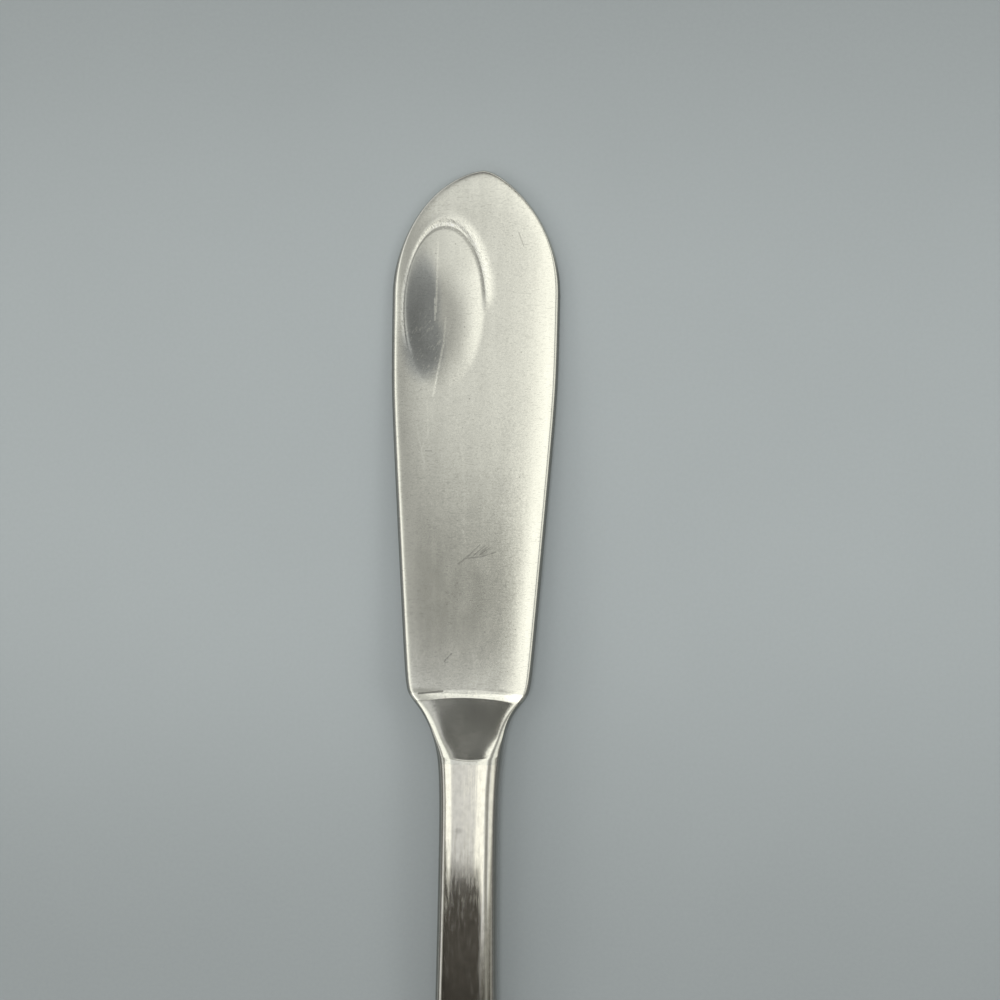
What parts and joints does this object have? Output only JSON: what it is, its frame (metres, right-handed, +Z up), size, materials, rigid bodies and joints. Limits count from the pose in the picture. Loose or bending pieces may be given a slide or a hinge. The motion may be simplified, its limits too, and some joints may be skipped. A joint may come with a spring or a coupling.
{
  "type": "butter knife",
  "caption": "One-piece steel butter knife: thin round-shouldered blade with a blunt pointed nose, a ramp up to a thick neck, and a slim flat-faced handle with a rounded end.",
  "frame": {"origin": "under the middle of the knife's length and width, on the surface that it rests on", "axes": "+Y to the tip of the blade, +X to the right as seen from above with the tip away from the viewer, +Z up out of the blade's upper face"},
  "size_m": [0.0222, 0.165, 0.0069],
  "materials": {
    "polished_steel": "fine satin polish, with wear scratches",
    "brushed_steel": "satin, brushed along the length"
  },
  "bodies": {
    "root": {"blade": "polished_steel", "shoulder": "polished_steel", "neck": "brushed_steel", "handle": "brushed_steel", "handle_end": "brushed_steel"}
  },
  "joints": []
}
